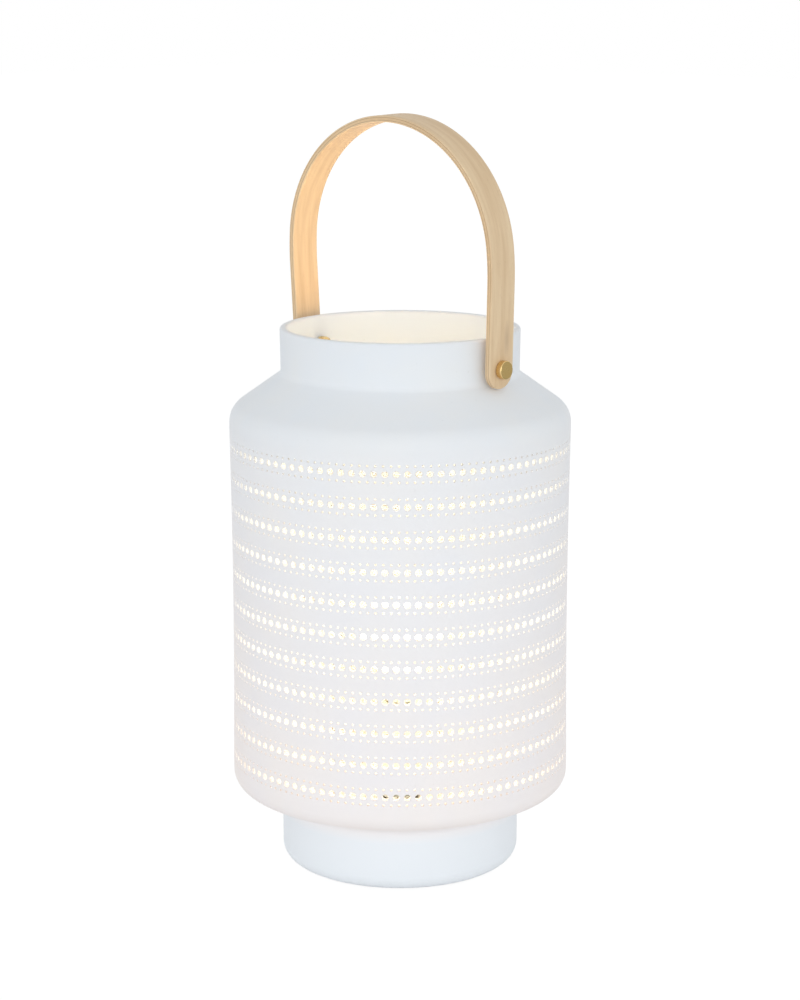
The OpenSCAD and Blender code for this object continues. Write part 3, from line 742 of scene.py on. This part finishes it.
def bisque():
    """Unglazed porcelain: matt, very slightly mottled, with the finest of grain, and a foot painted paler for
    the floor's bounced light.
    """
    mat, tree, shader = material("bisque_porcelain")
    where = place_of(tree)
    cloud = noise(tree, where, 22.0, 3.0)
    grain = noise(tree, where, 1500.0, 3.0, 0.6)
    speck = noise(tree, where, 420.0, 1.0)
    tone = mixed(tree, between(tree, cloud, 0.35, 0.65, 0.0, 1.0), PORCELAIN_COOL, PORCELAIN_WARM)
    apart = node(tree, "ShaderNodeSeparateXYZ", {"Vector": where})
    height = apart.outputs[2]
    # painted bounce light: below this band the porcelain is paler, for the white floor's light on the foot
    tone = mixed(tree, over(tree, height, FOOT_BOUNCE_Z, 1.0, 0.0), tone, PAINTED_FOOT_BOUNCE)
    # light from inside: a little through the wall, more where a hole passes it
    glow = calc(tree, "MULTIPLY", over(tree, height, GLOW_LOW_Z, 0.0, 1.0),
                over(tree, height, GLOW_HIGH_Z, 1.0, 0.0))
    through = calc(tree, "MULTIPLY", glow, over(tree, height, GLOW_SPAN_Z, *GLOW_SHARES))
    radius = length_of(tree, apart.outputs[0], apart.outputs[1])
    in_hole = calc(tree, "MULTIPLY", over(tree, radius, LIT_R[2:], 1.0, 0.0),
                   over(tree, radius, LIT_R[:2], 0.0, 1.0))
    in_hole = calc(tree, "MULTIPLY", in_hole, over(tree, height, LIT_Z[:2], 0.0, 1.0))
    in_hole = calc(tree, "MULTIPLY", in_hole, over(tree, height, LIT_Z[2:], 1.0, 0.0))
    light = scaled(tree, GLOW_THROUGH, through)
    bright = scaled(tree, GLOW_IN_HOLES, in_hole)
    both = node(tree, "ShaderNodeVectorMath", {0: light, 1: bright}, operation="ADD").outputs[0]
    dots = between(tree, speck, 0.76, 0.80, 0.0, 0.10)
    feed(tree, shader, {"Base Color": mixed(tree, dots, tone, PORCELAIN_SPECK),
                        "Roughness": between(tree, grain, 0.3, 0.7, 0.52, 0.68),
                        "Specular IOR Level": 0.32, "Emission Color": both, "Emission Strength": 1.0})
    swell = calc(tree, "MULTIPLY", cloud, 2.2)
    bump(tree, shader, calc(tree, "ADD", swell, calc(tree, "MULTIPLY", grain, 0.20)), 0.00012)
    return mat


def birch():
    """Bent birch plywood: pale faces with fine grain, three plies on the edges."""
    mat, tree, shader = material("bent_birch")
    along, across, through = [node(tree, "ShaderNodeAttribute", attribute_name=name).outputs["Fac"]
                              for name in ("along", "across", "through")]
    board = node(tree, "ShaderNodeCombineXYZ", {"X": along, "Y": across, "Z": through}).outputs[0]
    # the grain is drawn out along the band: noise cells per millimetre along, across and through it
    long_grain, fine_grain, fleck_map = [
        node(tree, "ShaderNodeMapping", {"Vector": board, "Scale": scale}).outputs[0]
        for scale in ((0.022, 0.30, 0.30), (0.10, 2.2, 2.2), (0.30, 2.6, 2.6))]
    broad = noise(tree, long_grain, 1.0, 4.0, 0.5)
    fine = noise(tree, fine_grain, 1.0, 4.0, 0.65)
    fleck = noise(tree, fleck_map, 1.0, 2.0, 0.5)
    face = ramp(tree, broad, [(0.32, BIRCH_DARK), (0.50, BIRCH_MID), (0.70, BIRCH_PALE)])
    face = mixed(tree, between(tree, fine, 0.35, 0.70, 0.0, 0.30), face, BIRCH_PALE)
    face = mixed(tree, between(tree, fleck, 0.68, 0.76, 0.0, 0.40), face, BIRCH_FLECK)
    # the knot-like smudge a little above one pivot
    ds = calc(tree, "DIVIDE", calc(tree, "SUBTRACT", along, KNOT_ALONG), KNOT_LENGTH)
    dw = calc(tree, "DIVIDE", calc(tree, "SUBTRACT", across, KNOT_ACROSS), KNOT_WIDTH)
    far = length_of(tree, ds, dw)
    smudge = calc(tree, "MULTIPLY", between(tree, far, 0.2, 1.2, 1.0, 0.0),
                  between(tree, fine, 0.2, 0.8, 0.15, 0.55), clamp=True)
    face = mixed(tree, smudge, face, BIRCH_KNOT)
    # glue lines between the plies, and end grain in the middle one
    depth = calc(tree, "ABSOLUTE", through)
    line = calc(tree, "ABSOLUTE", calc(tree, "SUBTRACT", depth, PLY_LINE))
    glue = between(tree, line, 0.06, 0.17, 0.75, 0.0)
    core = between(tree, depth, PLY_LINE - 0.12, PLY_LINE, 1.0, 0.0)
    wood = mixed(tree, calc(tree, "MULTIPLY", core, 0.5), face, BIRCH_CORE)
    wood = mixed(tree, glue, wood, BIRCH_GLUE)
    feed(tree, shader, {"Base Color": wood, "Roughness": between(tree, fine, 0.3, 0.7, 0.42, 0.58),
                        "Specular IOR Level": 0.35})
    bump(tree, shader, calc(tree, "ADD", calc(tree, "MULTIPLY", fine, 0.7), fleck), 0.00009)
    return mat


def metal(name, colour, rough, scratch=1.0, turned_rings=False):
    """Worked metal: fine marks, round a turned face or along a drawn one."""
    mat, tree, shader = material(name)
    where = place_of(tree)
    cloud = noise(tree, where, 160.0, 3.0)
    fine = noise(tree, place_of(tree, (1.0, 0.06, 1.0)), 5200.0, 2.0)
    dull = tuple(v * 0.90 for v in colour)
    tone = mixed(tree, between(tree, cloud, 0.3, 0.7, 0.0, 0.55), colour, dull)
    height = fine
    if turned_rings:
        split = node(tree, "ShaderNodeSeparateXYZ", {"Vector": where})
        out = calc(tree, "ABSOLUTE", split.outputs[0])
        flat = over(tree, out, (HEAD_X[1] - 0.3, HEAD_X[1] - 0.2), 0.0, 1.0)
        tone = mixed(tree, flat, tone, BRASS_FACE)
        y = split.outputs[1]
        z = calc(tree, "SUBTRACT", split.outputs[2], PIVOT_Z * MM)
        radius = length_of(tree, y, z)
        rings = calc(tree, "SINE", calc(tree, "MULTIPLY", radius, TURNING_MARKS))
        height = calc(tree, "ADD", calc(tree, "MULTIPLY", rings, 0.35), fine)
    roughness = between(tree, cloud, 0.3, 0.7, rough - 0.03, rough + 0.04)
    feed(tree, shader, {"Base Color": tone, "Roughness": roughness, "Metallic": 1.0})
    bump(tree, shader, height, 0.000012 * scratch)
    return mat


def plain_moulded(name, colour, rough, grain_scale=900.0, depth=0.00003, glow=None):
    """Moulded plastic or rubber: an even colour with the mould's fine texture."""
    mat, tree, shader = material(name)
    where = place_of(tree)
    grain = noise(tree, where, grain_scale, 3.0)
    cloud = noise(tree, where, 60.0, 2.0)
    darker = tuple(v * 0.90 for v in colour)
    tone = mixed(tree, between(tree, cloud, 0.35, 0.65, 0.0, 0.6), colour, darker)
    roughness = between(tree, grain, 0.3, 0.7, rough - 0.06, rough + 0.06)
    feed(tree, shader, {"Base Color": tone, "Roughness": roughness, "Specular IOR Level": 0.4})
    if glow:
        feed(tree, shader, {"Emission Color": glow + (1.0,), "Emission Strength": 1.0})
    bump(tree, shader, grain, depth)
    return mat


def felt():
    mat, tree, shader = material("pressed_felt")
    where = place_of(tree)
    fibre = noise(tree, where, 1400.0, 5.0, 0.75)
    greys = [(0.3, srgb(58, 56, 54)), (0.55, srgb(92, 90, 87)), (0.8, srgb(124, 121, 117))]
    feed(tree, shader, {"Base Color": ramp(tree, fibre, greys), "Roughness": 0.95, "Sheen Weight": 0.3})
    bump(tree, shader, fibre, 0.0004)
    return mat


def glowing_globe():
    """Opal glass lit from inside: full above GLOBE_LIT_Z, softer towards the bulb's neck."""
    mat, tree, shader = material("opal_globe")
    where = place_of(tree)
    height = node(tree, "ShaderNodeSeparateXYZ", {"Vector": where}).outputs[2]
    lit = over(tree, height, GLOBE_LIT_Z, GLOBE_LOW_SHARE, 1.0)
    haze = noise(tree, where, 90.0, 2.0)
    even = between(tree, haze, 0.3, 0.7, 0.97, 1.03)
    glow = calc(tree, "MULTIPLY", calc(tree, "MULTIPLY", lit, even), GLOBE_LIGHT)
    feed(tree, shader, {"Base Color": srgb(250, 246, 236) + (1.0,), "Roughness": 0.25, "Coat Weight": 0.4,
                        "Emission Color": GLOBE_COLOUR + (1.0,), "Emission Strength": glow})
    return mat


# ---------------------------------------------------------------- turned pieces

def along_x(side):
    """Turns a piece's own Z outwards along a pivot, on the right (1) or the left (-1)."""
    return Matrix.Translation((0, 0, PIVOT_Z)) @ Matrix.Rotation(side * math.pi / 2, 4, "Y")


def on_both_pivots(name, profile, n=64, closed=False):
    parts = []
    for side in (1, -1):
        verts, faces = turn(profile, n, closed)
        parts.append(([tuple(along_x(side) @ Vector(v)) for v in verts], faces))
    return joined(name, parts)


def pivot_screw_profile():
    low, high = HEAD_X
    path = [(0, PIVOT_END_X), (PIVOT_R, PIVOT_END_X), (PIVOT_R, low), (HEAD_R, low), (HEAD_R, high - 0.5),
            (HEAD_R - 0.5, high), (HEAD_R - 1.1, high - 0.05), (0, high - 0.12)]
    return rounded(path, [0, 0.3, 0.15, 0.15, 0.12, 0.12, 0.3, 0], 4)


def ring_profile(outer, inner, low, high, edge):
    """The closed outline of a turned ring with softened edges."""
    path = [(outer, (low + high) / 2), (outer, high), (inner, high), (inner, low), (outer, low),
            (outer, (low + high) / 2)]
    return rounded(path, [0, edge, edge / 2, edge / 2, edge, 0], 4)[:-1]


def dome_nut_profile():
    """A closed nut, bored from its flat end, with a dome turned to the middle of the lamp."""
    flat, rim = WASHER_X[0], PIVOT_END_X
    dome_r = (SPACER_R ** 2 + NUT_DOME ** 2) / (2 * NUT_DOME)
    centre = rim - NUT_DOME + dome_r
    spread = math.asin(SPACER_R / dome_r)
    angles = [spread * k / 14 for k in range(15)]
    dome = [(dome_r * math.sin(a), centre - dome_r * math.cos(a)) for a in angles]
    return dome[:-1] + [(SPACER_R - 0.08, rim + 0.05), (SPACER_R, rim + 0.3), (SPACER_R, flat - 0.25),
                        (SPACER_R - 0.2, flat), (SCREW_HOLE_R, flat), (SCREW_HOLE_R, rim - 1.3),
                        (0, rim - 1.3)]


def globe_profile():
    """Outside of the globe from its neck to the top, then back down inside."""
    start = math.asin(-GLOBE_DROP / GLOBE_R)
    outside = [(GLOBE_R * math.cos(a), GLOBE_Z + GLOBE_R * math.sin(a))
               for a in (start + (math.pi / 2 - start) * k / 48 for k in range(49))]
    inner_r = GLOBE_R - GLOBE_T
    inner_start = math.asin(-GLOBE_DROP / inner_r)
    inside = [(inner_r * math.cos(a), GLOBE_Z + inner_r * math.sin(a))
              for a in (math.pi / 2 + (inner_start - math.pi / 2) * k / 40 for k in range(41))]
    outside[-1] = (0, GLOBE_Z + GLOBE_R)
    inside[0] = (0, GLOBE_Z + inner_r)
    return outside + inside


def collar_profile():
    top_z = GLOBE_Z - GLOBE_DROP
    top_r = math.sqrt(GLOBE_R ** 2 - GLOBE_DROP ** 2)
    path = [(0, COLLAR_Z), (COLLAR_R, COLLAR_Z), (COLLAR_R, COLLAR_Z + 3), (top_r, top_z), (0, top_z)]
    return rounded(path, [0, 0.8, 6.0, 0.25, 0], 8)


def threaded_cap():
    """The bulb's screw cap with its rolled thread, closed at both ends."""
    low, high = BULB_CAP_Z
    around, levels = 96, 108
    verts, faces = [], []
    for j in range(levels + 1):
        share = j / levels
        z = low + (high - low) * share
        fade = min(1.0, max(0.0, (z - low - 0.8) / 1.6)) * min(1.0, max(0.0, (high - 2.2 - z) / 1.6))
        for k in range(around):
            wave = 0.5 - 0.5 * math.cos(2 * math.pi * (z / THREAD_PITCH - k / around))
            r = BULB_CAP_R - THREAD_DEPTH * (0.55 + (wave - 0.55) * fade)
            r -= 0.9 * max(0.0, 1 - (z - low) / 0.9) ** 2
            if z > high - 1.2:
                r = BULB_CAP_R
            angle = 2 * math.pi * k / around
            verts.append((r * math.cos(angle), r * math.sin(angle), z))
    for j in range(levels):
        for k in range(around):
            m = (k + 1) % around
            faces.append([j * around + k, j * around + m, (j + 1) * around + m, (j + 1) * around + k])
    faces.append(list(range(around)))
    faces.append(list(range(levels * around, (levels + 1) * around)))
    return new_object("threaded_cap", verts, faces, 50.0)


def holder_cap_profile():
    boss_r, flare_z, bore_r = 8.5, HOLDER_Z + 10, NIPPLE_HOLE_R
    path = [(bore_r, HOLDER_Z + 2), (bore_r, HOLDER_Z), (boss_r, HOLDER_Z), (boss_r, HOLDER_Z + 4),
            (HOLDER_R, flare_z), (HOLDER_R, HOLDER_SHELL_Z - 0.05),
            (HOLDER_R - HOLDER_T, HOLDER_SHELL_Z - 0.05), (HOLDER_R - HOLDER_T, flare_z + 1),
            (boss_r - HOLDER_T, HOLDER_Z + 5), (bore_r, HOLDER_Z + 5), (bore_r, HOLDER_Z + 2)]
    return rounded(path, [0, 0.2, 1, 2, 3, 0.3, 0.1, 2, 1, 0.2, 0], 6)[:-1]


def holder_shell_profile():
    inner = HOLDER_R - HOLDER_T
    path = [(HOLDER_R, 70), (HOLDER_R, HOLDER_TOP_Z), (HOLDER_LIP_R, HOLDER_TOP_Z),
            (HOLDER_LIP_R, HOLDER_TOP_Z - 1.5), (inner, HOLDER_TOP_Z - 1.5), (inner, HOLDER_SHELL_Z + 0.05),
            (HOLDER_R, HOLDER_SHELL_Z + 0.05), (HOLDER_R, 70)]
    return rounded(path, [0, 1.2, 0.4, 0.2, 0.3, 0.1, 0.3, 0], 6)[:-1]


def inlet_grommet():
    """A grommet whose two flanges follow the foot's wall, outside and inside."""
    outer_wall = FOOT_R + 0.05
    inner_wall = FOOT_R - WALL_T - 0.05
    back = FOOT_R + INLET_FLANGE_T
    front = FOOT_R - WALL_T - INLET_FLANGE_T - 0.5
    n = 64
    # each stop is (radius, which surface, distance from it): a face of the wall or a flat end
    stops = [(INLET_SLEEVE_R, "out", 0.0), (INLET_FLANGE_R - 0.15, "out", 0.0), (INLET_FLANGE_R, "out", 0.15)]
    stops += [(INLET_FLANGE_R - 0.8 + 0.8 * math.cos(a), "back", -0.8 + 0.8 * math.sin(a))
              for a in (math.pi / 2 * k / 6 for k in range(7))]
    stops += [(INLET_BORE_R + 0.5 - 0.5 * math.sin(a), "back", -0.5 + 0.5 * math.cos(a))
              for a in (math.pi / 2 * k / 5 for k in range(6))]
    stops += [(INLET_BORE_R, "front", 0.3), (INLET_BORE_R + 0.3, "front", 0.0),
              (INLET_FLANGE_R - 0.3, "front", 0.0), (INLET_FLANGE_R, "front", 0.3),
              (INLET_FLANGE_R, "in", 0.0), (INLET_SLEEVE_R, "in", 0.0)]
    verts, faces = [], []
    for r, face, off in stops:
        for k in range(n):
            a = 2 * math.pi * k / n
            x = r * math.cos(a)
            y = {"out": math.sqrt(outer_wall ** 2 - x * x), "in": math.sqrt(inner_wall ** 2 - x * x),
                 "back": back, "front": front}[face] + off
            verts.append((x, y, INLET_Z + r * math.sin(a)))
    rows = len(stops)
    for j in range(rows):
        for k in range(n):
            m, up = (k + 1) % n, (j + 1) % rows
            faces.append([j * n + k, j * n + m, up * n + m, up * n + k])
    return new_object("inlet_grommet", verts, faces, 40.0)


def felt_pads():
    parts = []
    path = [(0, 0), (PAD_R, 0), (PAD_R, PAD_TOP_Z), (0, PAD_TOP_Z)]
    profile = rounded(path, [0, 0.5, 0.2, 0], 5)
    for k in range(4):
        verts, faces = turn(profile, 64)
        a = math.radians(90 * (k + 0.5))
        shift = (PAD_CIRCLE_R * math.cos(a), PAD_CIRCLE_R * math.sin(a))
        parts.append(([(x + shift[0], y + shift[1], z) for x, y, z in verts], faces))
    return joined("felt_pads", parts)


# ---------------------------------------------------------------- the lamp

def dress(piece, mat, body, slot, *nodes):
    piece.data.materials.clear()
    piece.data.materials.append(mat)
    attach(piece, body)
    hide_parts(*nodes)


def finish_node(name, mat):
    """A CAD node that keeps its shape gets a worked material."""
    for material_slot in frame["nodes"][name].material_slots:
        material_slot.material = mat


def build_lamp():
    brass = metal("turned_brass", (0.78, 0.57, 0.27), 0.27, 1.0, True)
    drawn_brass = metal("drawn_brass", (0.80, 0.60, 0.30), 0.33, 1.4)
    steel = metal("zinc_steel", (0.62, 0.63, 0.64), 0.36, 1.6)
    nickel = metal("nickel_steel", (0.72, 0.71, 0.69), 0.24, 0.8)
    white = plain_moulded("white_moulding", srgb(236, 235, 231), 0.34, 700.0, 0.00001, glow=HOLDER_GLOW)
    ivory = plain_moulded("ivory_moulding", srgb(226, 219, 200), 0.5)
    black = plain_moulded("black_moulding", srgb(40, 40, 42), 0.5)
    rubber = plain_moulded("black_rubber", srgb(88, 88, 90), 0.75, 1200.0, 0.00005)
    brown = plain_moulded("brown_insulation", srgb(112, 70, 46), 0.4, 1600.0, 0.00001)
    blue = plain_moulded("blue_insulation", srgb(52, 88, 158), 0.4, 1600.0, 0.00001)

    dress(porcelain(), bisque(), "lantern", "porcelain", "porcelain_body")
    dress(strap(), birch(), "handle", "birch", "handle_strap")
    dress(on_both_pivots("turned_screws", pivot_screw_profile(), 96),
          brass, "lantern", "brass", "pivot_screws")
    spacer = ring_profile(SPACER_R, SCREW_HOLE_R, *SPACER_X, 0.3)
    dress(on_both_pivots("turned_spacers", spacer, closed=True),
          brass, "lantern", "brass", "pivot_spacers")
    washer = ring_profile(SPACER_R, SCREW_HOLE_R, *WASHER_X, 0.2)
    dress(on_both_pivots("inner_washers", washer, closed=True),
          ivory, "lantern", "ivory_plastic", "neck_washers")
    dress(on_both_pivots("domed_nuts", dome_nut_profile()), brass, "lantern", "brass", "dome_nuts")
    dress(turned("opal_bulb", globe_profile(), 128, closed=True),
          glowing_globe(), "bulb", "opal_globe", "bulb_globe")
    dress(turned("bulb_skirt", collar_profile()), white, "bulb", "white_plastic", "bulb_collar")
    dress(threaded_cap(), nickel, "bulb", "bulb_steel", "bulb_cap")
    dress(turned("lampholder_cap", holder_cap_profile(), closed=True), white, "lantern", "white_plastic",
          "holder_cap")
    dress(turned("lampholder_shell", holder_shell_profile(), closed=True), white, "lantern", "white_plastic",
          "holder_shell")
    dress(inlet_grommet(), rubber, "lantern", "black_plastic", "cable_inlet")
    dress(felt_pads(), felt(), "lantern", "felt", "foot_pads")

    for names, mat in ((("base_plate", "base_screws", "base_bracket", "block_screw", "nipple", "nipple_nut",
                         "steel_washers"), steel),
                       (("rubber_washers",), rubber),
                       (("terminal_block", "holder_core"), ivory),
                       (("terminal_screws", "screw_shell", "centre_contact", "holder_terminals"),
                        drawn_brass),
                       (("bulb_insulator",), black),
                       (("bulb_tip",), nickel),
                       (("live_lead",), brown),
                       (("neutral_lead",), blue)):
        for name in names:
            finish_node(name, mat)


# ---------------------------------------------------------------- studio

CAMERA_TURN = 42.65      # degrees from straight in front, to the right
CAMERA_FAR = 1.28045
CAMERA_HIGH = 0.4747
CAMERA_TILT = 77.766
CAMERA_PAN = 0.003
CAMERA_LENS = 88.78


def camera():
    data = bpy.data.cameras.new("camera")
    data.sensor_fit = "VERTICAL"
    data.sensor_height = 36.0
    data.lens = CAMERA_LENS
    data.clip_end = 50.0
    obj = bpy.data.objects.new("camera", data)
    theta = math.radians(CAMERA_TURN)
    obj.location = (CAMERA_FAR * math.sin(theta), -CAMERA_FAR * math.cos(theta), CAMERA_HIGH)
    obj.rotation_euler = (math.radians(CAMERA_TILT), 0.0, theta + math.radians(CAMERA_PAN))
    bpy.context.scene.collection.objects.link(obj)
    bpy.context.scene.camera = obj


def seen_rays(tree):
    """1 for rays from the camera, from a glossy surface or through glass; 0 for those that light the lamp."""
    path = node(tree, "ShaderNodeLightPath")
    share = calc(tree, "MAXIMUM", path.outputs["Is Camera Ray"], path.outputs["Is Glossy Ray"])
    return calc(tree, "MAXIMUM", share, path.outputs["Is Transmission Ray"])


def world():
    made = bpy.data.worlds.new("studio")
    made.use_nodes = True
    tree = made.node_tree
    tree.nodes.clear()
    out = tree.nodes.new("ShaderNodeOutputWorld")
    way = node(tree, "ShaderNodeTexCoord").outputs["Generated"]
    up = node(tree, "ShaderNodeSeparateXYZ", {"Vector": way}).outputs[2]
    strength = between(tree, up, 0.1, 0.6, HORIZON_LIGHT, OVERHEAD_LIGHT)
    light = node(tree, "ShaderNodeBackground", {"Color": DAYLIGHT + (1.0,), "Strength": strength})
    white = node(tree, "ShaderNodeBackground", {"Color": (1.0, 1.0, 1.0, 1.0), "Strength": 1.0})
    both = node(tree, "ShaderNodeMixShader", {0: seen_rays(tree), 1: light.outputs[0], 2: white.outputs[0]})
    feed(tree, out, {"Surface": both.outputs[0]})
    bpy.context.scene.world = made


def floor():
    half = 8000.0
    obj = new_object("floor", [(-half, -half, 0), (half, -half, 0), (half, half, 0), (-half, half, 0)],
                     [[0, 1, 2, 3]])
    mat, tree, shader = material("white_floor")
    cloud = noise(tree, place_of(tree), 3.0, 2.0)
    tone = ramp(tree, cloud, [(0.0, (0.86, 0.86, 0.86)), (1.0, (0.90, 0.90, 0.90))])
    feed(tree, shader, {"Base Color": tone, "Roughness": 0.9, "Specular IOR Level": 0.1})
    glow = node(tree, "ShaderNodeEmission", {"Color": (1.0, 1.0, 1.0, 1.0), "Strength": FLOOR_WHITE})
    share = calc(tree, "MULTIPLY", seen_rays(tree), FLOOR_SHARE)
    both = node(tree, "ShaderNodeMixShader", {0: share, 1: shader.outputs[0], 2: glow.outputs[0]})
    out = next(n for n in tree.nodes if n.type == "OUTPUT_MATERIAL")
    feed(tree, out, {"Surface": both.outputs[0]})
    obj.data.materials.append(mat)


def soft_light(name, power, size, place, aim, colour=(1.0, 1.0, 1.0), seen=True):
    data = bpy.data.lights.new(name, "AREA")
    data.shape = "DISK"
    data.size = size
    data.energy = power
    data.color = colour
    obj = bpy.data.objects.new(name, data)
    obj.location = place
    obj.rotation_euler = (Vector(aim) - Vector(place)).to_track_quat("-Z", "Y").to_euler()
    obj.visible_camera = seen
    bpy.context.scene.collection.objects.link(obj)


DAYLIGHT = (0.93, 0.97, 1.0)
HORIZON_LIGHT = 1.20
OVERHEAD_LIGHT = 0.62
FLOOR_WHITE = 1.09
FLOOR_SHARE = 0.85

bpy.context.scene.view_settings.view_transform = "Standard"
camera()
world()
floor()
soft_light("front", 16.5, 2.4, (1.7, -1.9, 0.6), (0.0, 0.0, 0.1), DAYLIGHT)
soft_light("out_of_the_neck", 0.04, 0.10, (0.0, 0.0, 0.288), (0.0, 0.0, 1.0), NECK_GLOW, seen=False)
build_lamp()
